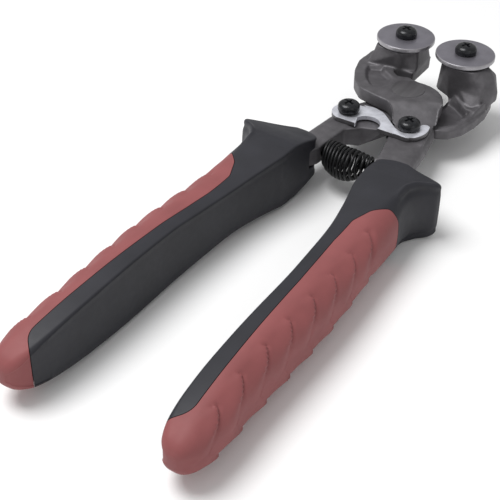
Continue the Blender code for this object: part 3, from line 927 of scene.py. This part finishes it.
# Grip sections: y, inner edge x, outer edge x, half height, inner and outer corner radius.
GRIP = np.array((
    (-43.6, 14.8, 22.6, 7.0, 0.6, 1.2),
    (-45.4, 12.6, 25.0, 7.6, 0.6, 1.2),
    (-47.4, 11.8, 28.6, 8.2, 0.6, 1.2),
    (-50.0, 12.0, 34.4, 9.0, 0.6, 1.2),
    (-52.4, 12.2, 37.9, 9.8, 0.6, 1.4),
    (-54.2, 12.4, 37.6, 10.3, 0.6, 1.4),
    (-56.4, 12.6, 35.4, 10.8, 0.6, 1.4),
    (-59.0, 12.8, 33.6, 11.2, 0.6, 1.5),
    (-62.0, 13.0, 32.7, 11.2, 0.6, 1.8),
    (-66.0, 13.2, 32.4, 11.0, 0.6, 3.0),
    (-71.0, 14.2, 32.8, 10.5, 0.6, 5.6),
    (-78.0, 15.6, 33.4, 9.9, 0.6, 7.6),
    (-90.0, 17.5, 34.0, 9.3, 0.6, 8.2),
    (-105.0, 18.9, 35.0, 9.9, 0.6, 8.6),
    (-122.0, 20.1, 35.3, 10.8, 0.6, 8.8),
    (-140.0, 20.4, 34.9, 11.1, 0.6, 8.8),
    (-160.0, 20.8, 34.7, 10.4, 0.7, 8.4),
    (-173.0, 21.4, 35.3, 9.2, 0.9, 7.8),
    (-182.0, 22.2, 34.8, 7.6, 1.6, 6.2),
    (-186.5, 23.4, 33.2, 6.0, 2.4, 4.4),
    (-188.6, 25.0, 31.4, 4.2, 2.0, 2.6),
    (-189.4, 26.6, 30.0, 2.6, 1.4, 1.6),
))
# How far the outer side leans in at its top and bottom edges: y, lean.
LEAN = np.array((
    (-189.4, 0.0), (-80.0, 0.0), (-72.0, 1.2), (-66.0, 2.6), (-61.0, 2.7), (-57.0, 1.8), (-53.0, 0.2),
    (-43.6, 0.0),
))
# Where the guard's rear lip stands out: y, share.
GUARD = np.array((
    (-189.4, 0.0), (-74.0, 0.0), (-68.0, 0.6), (-62.0, 1.0), (-57.0, 1.0), (-53.5, 0.5), (-51.5, 0.0),
    (-43.6, 0.0),
))
GUARD_GROOVE, GUARD_RISE = 0.7, 0.45
# The inner side is set in below its top and bottom edges, and crowned.
LIP_DEPTH, LIP_DROP = 0.3, 1.1
CROWN = 0.075
# The rings' spacing changes behind the guard and again where the end rounds off.
PADS_START, END_START = -80.0, -184.0
CORE_START, CORE_END, CORE_LAP = -60.0, -182.0, 0.1
# Channel for the shank and the tang, in the same columns as the grip's sections.
SHANK = (
    (-39.0, 8.2, 21.4, 3.8, 0.6, 3.1),
    (-46.0, 9.0, 22.2, 3.7, 0.6, 2.6),
    (-52.5, 14.0, 22.6, 3.5, 0.5, 1.0),
    (-60.0, 17.0, 25.2, 3.3, 0.5, 0.8),
    (-80.0, 20.2, 27.8, 3.0, 0.5, 0.8),
    (-112.6, 24.4, 30.6, 2.7, 0.5, 0.8),
)
RIDGE_FIRST, RIDGE_PITCH, RIDGES = -86.0, 12.35, 8
RIDGE_HEIGHT, RIDGE_DIP = 1.0, 0.4
COVER_THICK = 2.2
SEAM = 0.22
REST_LEVEL = level("pivot_nut", 0)
# Plan outline of the red cover, drawn past the grip on its outer and rear sides: x, y, corner radius.
COVER_AREA = [
    (39.0, -75.6), (33.2, -72.4, 1.6), (29.6, -73.2, 3.0), (25.4, -78.0, 5.0), (22.7, -85.0, 5.0),
    (22.9, -97.0, 20.0), (24.7, -120.0, 40.0), (26.2, -155.0, 20.0), (27.3, -178.8, 7.0),
    (22.6, -183.4, 1.6), (10.0, -187.0), (10.0, -200.0), (60.0, -200.0), (60.0, -84.0),
]


def curve_through(xs, ys, at):
    """Monotone cubic through points whose xs rise."""
    step = np.diff(xs)
    slope = np.diff(ys) / step
    tangent = np.zeros_like(ys)
    tangent[0], tangent[-1] = slope[0], slope[-1]
    same = slope[:-1] * slope[1:] > 0
    w1, w2 = 2 * step[1:] + step[:-1], step[1:] + 2 * step[:-1]
    with np.errstate(divide="ignore", invalid="ignore"):
        inner = (w1 + w2) / (w1 / slope[:-1] + w2 / slope[1:])
    tangent[1:-1] = np.where(same, inner, 0)
    k = np.clip(np.searchsorted(xs, at) - 1, 0, len(xs) - 2)
    t = (at - xs[k]) / step[k]
    a, b = ys[k], ys[k + 1]
    m, n = tangent[k] * step[k], tangent[k + 1] * step[k]
    start = a * (1 + 2 * t) * (1 - t) ** 2 + m * t * (1 - t) ** 2
    return start + b * t * t * (3 - 2 * t) + n * t * t * (t - 1)


def straight(a, b, count):
    """Even points from one point up to, but without, another."""
    return [(a[0] + (b[0] - a[0]) * i / count, a[1] + (b[1] - a[1]) * i / count) for i in range(count)]


def grip_ring(x0, x1, half, r0, r1, fine):
    """Cross-section points (x, z): flat inner side with a crisp edge, rounded outer side."""
    r0, r1 = min(r0, half * 0.95), min(r1, half * 0.95)
    inner_turn, outer_turn = (7, 16) if fine else (4, 3)
    inner_flat, face, outer_flat = (16, 30, 40) if fine else (4, 5, 2)
    ring = straight((x0 + r0, -half), (x1 - r1, -half), face)
    ring += arc(x1 - r1, -half + r1, r1, -90, 0, outer_turn)[:-1]
    ring += straight((x1, r1 - half), (x1, half - r1), outer_flat)
    ring += arc(x1 - r1, half - r1, r1, 0, 90, outer_turn)[:-1]
    ring += straight((x1 - r1, half), (x0 + r0, half), face)
    ring += arc(x0 + r0, half - r0, r0, 90, 180, inner_turn)[:-1]
    ring += straight((x0, half - r0), (x0, r0 - half), inner_flat)
    ring += arc(x0 + r0, -half + r0, r0, 180, 270, inner_turn)[:-1]
    return ring


def grip_column(column, y):
    """One column of the grip's sections, read at y."""
    rows = GRIP[::-1]
    return curve_through(rows[:, 0], rows[:, column], y)


def grip_solid(name, ys, inset=0.0, fine=True):
    """Right grip, or a plain core inside it, as a loft through sections at ys."""
    rings = []
    for y in ys:
        x0, x1, half, r0, r1 = (float(grip_column(c, np.array([y]))[0]) for c in range(1, 6))
        ring = grip_ring(x0 + inset, x1 - inset, half - inset, r0, max(r1 - inset, 0.5), fine)
        middle = x0 + 0.55 * (x1 - x0)
        lean = float(np.interp(y, LEAN[:, 0], LEAN[:, 1]))
        guard = float(np.interp(y, GUARD[:, 0], GUARD[:, 1]))
        placed = []
        for x, z in ring:
            inner = max(0.0, (middle - x) / (middle - x0))
            outer = max(0.0, (x - middle) / (x1 - middle))
            below = half - abs(z)
            set_in = fine and x < x0 + 0.02 and below > LIP_DROP
            x += LIP_DEPTH if set_in else -lean * outer * (z / half) ** 2
            if fine and outer > 0:
                groove = math.exp(-(((below - 2.3) / 1.1) ** 2)) * (below > 0.5)
                raised = math.exp(-(((outer - 0.86) / 0.12) ** 2)) * (below < 0.9)
                x -= GUARD_GROOVE * guard * outer ** 6 * groove
                z += GUARD_RISE * guard * raised * math.copysign(1, z)
            placed.append((x, float(y), max(z * (1 - CROWN * inner * inner), REST_LEVEL)))
        rings.append(placed)
    return rings_object(name, rings)


def grip_core(inset, end):
    """Plain solid that lies inside the grip's skin."""
    return grip_solid("core", np.linspace(CORE_START, end, 40), inset, False)


def grip_skin():
    """Outer surface of the whole grip, before its ridges."""
    end = GRIP[-1, 0]
    return grip_solid("skin", np.concatenate([
        np.linspace(GRIP[0, 0], PADS_START, 80)[:-1],
        np.linspace(PADS_START, END_START, 300)[:-1],
        end + (END_START - end) * (1 - np.linspace(0, 1, 30)) ** 1.7,
    ]))


def ridged(grip):
    """Raises the curved overlapping finger scales along the outer side."""
    points, out = coords(grip), normals(grip)
    x, y, z = points.T
    x0, x1, half = (grip_column(c, np.clip(y, -189, -45.2)) for c in (1, 2, 3))
    outward = np.clip((x - (x0 + 0.52 * (x1 - x0))) / (0.48 * (x1 - x0)), 0, 1)
    around = outward * 0.55 + 0.45 * (1 - np.clip(np.abs(z) / half, 0, 1)) * (outward > 0)
    swept = 9.5 * np.clip((around - 0.22) / 0.78, 0, 1) ** 1.35
    hook = 3.2 * np.clip((0.30 - around) / 0.15, 0, 1) ** 1.6
    phase = (RIDGE_FIRST - (y + swept + hook)) / RIDGE_PITCH
    count = np.floor(phase)
    saw = phase - count
    side = step01((around - 0.55) / 0.3)
    rise = step01(saw / (0.09 + 0.33 * side))
    dip = RIDGE_DIP * (1 - side) * step01((saw - 0.9) / 0.08)
    wave = rise * (1 - 0.75 * step01((saw - 0.03) / 0.75)) - 0.5 - dip
    wave = np.where(count == -1, -0.55 * step01((saw - 0.72) / 0.26), wave)
    fading = (wave + dip) * (1 - step01((saw - 0.3) / 0.55))
    wave = np.where(count == RIDGES - 1, fading, wave)
    active = (count >= -1) & (count < RIDGES)
    mask = step01((around - 0.12) / 0.2) * (1 - 0.58 * step01((around - 0.6) / 0.3))
    points += out * (RIDGE_HEIGHT * wave * active * mask)[:, None]
    set_coords(grip, points)
    return grip


def widened(outline, amount):
    """Counterclockwise outline moved outwards by an amount on every side."""
    moved = []
    for i, (x, y) in enumerate(outline):
        bx, by = outline[i - 1]
        ax, ay = outline[(i + 1) % len(outline)]
        lb, la = math.hypot(x - bx, y - by), math.hypot(ax - x, ay - y)
        nx, ny = (y - by) / lb + (ay - y) / la, -(x - bx) / lb - (ax - x) / la
        scale = 2 * amount / (nx * nx + ny * ny)
        moved.append((x + nx * scale, y + ny * scale))
    return moved


def shank_cutter():
    """Solid of the shank's and the tang's room in the grip."""
    rings = [[(x, y, z) for x, z in grip_ring(*sizes, False)] for y, *sizes in SHANK]
    return rings_object("channel", rings)


def mirror_mesh(obj, name):
    """Copy of an object mirrored left to right."""
    made = linked(name, obj.data.copy())
    made.data.transform(Matrix.Scale(-1, 4, (1, 0, 0)))
    made.data.flip_normals()
    return made


def grips():
    skin = ridged(grip_skin())
    area = rounded(COVER_AREA, 10)
    cover = linked("right_grip_red_cover", skin.data.copy())
    combine(cover, "INTERSECT", prism("area", area, -20, 20))
    combine(cover, "DIFFERENCE", grip_core(COVER_THICK, CORE_END))
    body = linked("right_grip_black_body", skin.data.copy())
    combine(body, "DIFFERENCE", prism("area", widened(area, SEAM), -20, 20))
    combine(body, "UNION", grip_core(COVER_THICK + CORE_LAP, CORE_END + 2 * CORE_LAP))
    combine(body, "DIFFERENCE", shank_cutter())
    bpy.data.objects.remove(skin)
    left_cover = mirror_mesh(cover, "left_grip_red_cover")
    left_body = mirror_mesh(body, "left_grip_black_body")
    piece(smooth(cover, 30), "upper_half", "red_grip", LOOKS["red_grip"], "right_grip_cover")
    piece(smooth(body, 30), "upper_half", "black_grip", LOOKS["black_grip"], "right_grip_body")
    piece(smooth(left_cover, 30), "lower_half", "red_grip", LOOKS["red_grip"], "left_grip_cover")
    piece(smooth(left_body, 30), "lower_half", "black_grip", LOOKS["black_grip"], "left_grip_body")


grips()


# ---------------------------------------------------------------- size and finish

def corners(box):
    return [[float(c) for c in corner] for corner in box]
